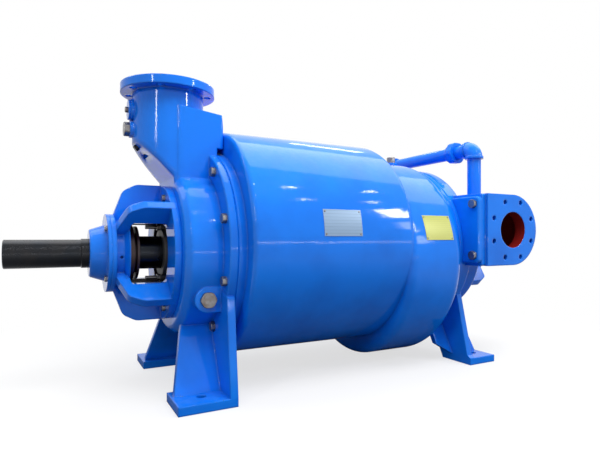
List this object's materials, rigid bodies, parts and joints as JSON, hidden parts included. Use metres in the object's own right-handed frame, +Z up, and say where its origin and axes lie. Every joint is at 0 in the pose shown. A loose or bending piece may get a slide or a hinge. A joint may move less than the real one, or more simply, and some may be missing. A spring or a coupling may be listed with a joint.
{
  "type": "liquid ring vacuum pump",
  "caption": "Two-stage liquid ring vacuum pump: barrel casing on feet, upright suction nozzle, sideways discharge flange, bearing brackets, bypass pipe, bladed rotors.",
  "frame": {"origin": "on the floor plane, at the centre of the four foot bolt holes", "axes": "+X along the shaft from the drive end to the idle end, +Z up, -Y towards the side with the discharge flange"},
  "size_m": [1.792, 0.742, 0.922],
  "materials": {
    "paint": "gloss",
    "shaft_steel": "turned, oily",
    "cast_iron": "as cast",
    "primer": "satin",
    "bearing_steel": "ground",
    "packing": "braided",
    "bronze": "turned",
    "zinc": "zinc plated",
    "dark_steel": "black oxide",
    "plate_silver": "satin",
    "plate_yellow": "satin"
  },
  "bodies": {
    "casing": {"body": "paint", "drive_head": "paint", "idle_head": "paint", "drive_bracket": "paint", "idle_bracket": "paint", "drive_cap": "paint", "idle_cap": "paint", "box_cover": "paint", "nozzle_cover": "paint", "riser_pipe": "paint", "near_elbow": "paint", "nipple": "paint", "union_nut": "paint", "union_body": "paint", "long_pipe": "paint", "far_elbow": "paint", "drop_pipe": "paint", "first_cone": "cast_iron", "second_cone": "cast_iron", "drive_gland": "cast_iron", "idle_gland": "cast_iron", "drive_inner_cover": "primer", "idle_inner_cover": "primer", "drive_outer_race": "bearing_steel", "idle_outer_race": "bearing_steel", "drive_packing": "packing", "idle_packing": "packing", "drive_lantern": "bronze", "idle_lantern": "bronze", "joint_bolts": "zinc", "bracket_bolts": "zinc", "cap_bolts": "zinc", "box_cover_bolts": "zinc", "gland_studs": "zinc", "nozzle_cover_screw": "zinc", "nozzle_plug": "zinc", "head_plugs": "zinc", "vent_plug": "zinc", "plate_rivets": "zinc", "corner_plug": "dark_steel", "nameplate": "plate_silver", "spec_plate": "plate_yellow"},
    "rotor": {"shaft": "shaft_steel", "rotor_keys": "shaft_steel", "first_rotor": "cast_iron", "second_rotor": "cast_iron", "drive_sleeve": "shaft_steel", "idle_sleeve": "shaft_steel", "drive_slinger": "primer", "idle_slinger": "primer", "drive_inner_race": "bearing_steel", "idle_inner_race": "bearing_steel", "drive_locknut": "shaft_steel", "idle_locknut": "shaft_steel"},
    "drive_cage": {"drive_ball_set": "bearing_steel"},
    "idle_cage": {"idle_ball_set": "bearing_steel"}
  },
  "joints": [
    {"name": "shaft_spin", "type": "hinge", "parent": "casing", "child": "rotor", "pos_m": [0, 0, 0.408], "axis": [-1, 0, 0], "continuous": true},
    {"name": "drive_cage_spin", "type": "hinge", "parent": "casing", "child": "drive_cage", "pos_m": [-0.709, 0, 0.408], "axis": [-1, 0, 0], "continuous": true},
    {"name": "idle_cage_spin", "type": "hinge", "parent": "casing", "child": "idle_cage", "pos_m": [0.735, 0, 0.408], "axis": [-1, 0, 0], "continuous": true}
  ],
  "couplings": [
    {"joint": "drive_cage_spin", "follows": "shaft_spin", "ratio": 0.4064},
    {"joint": "idle_cage_spin", "follows": "shaft_spin", "ratio": 0.4064}
  ]
}
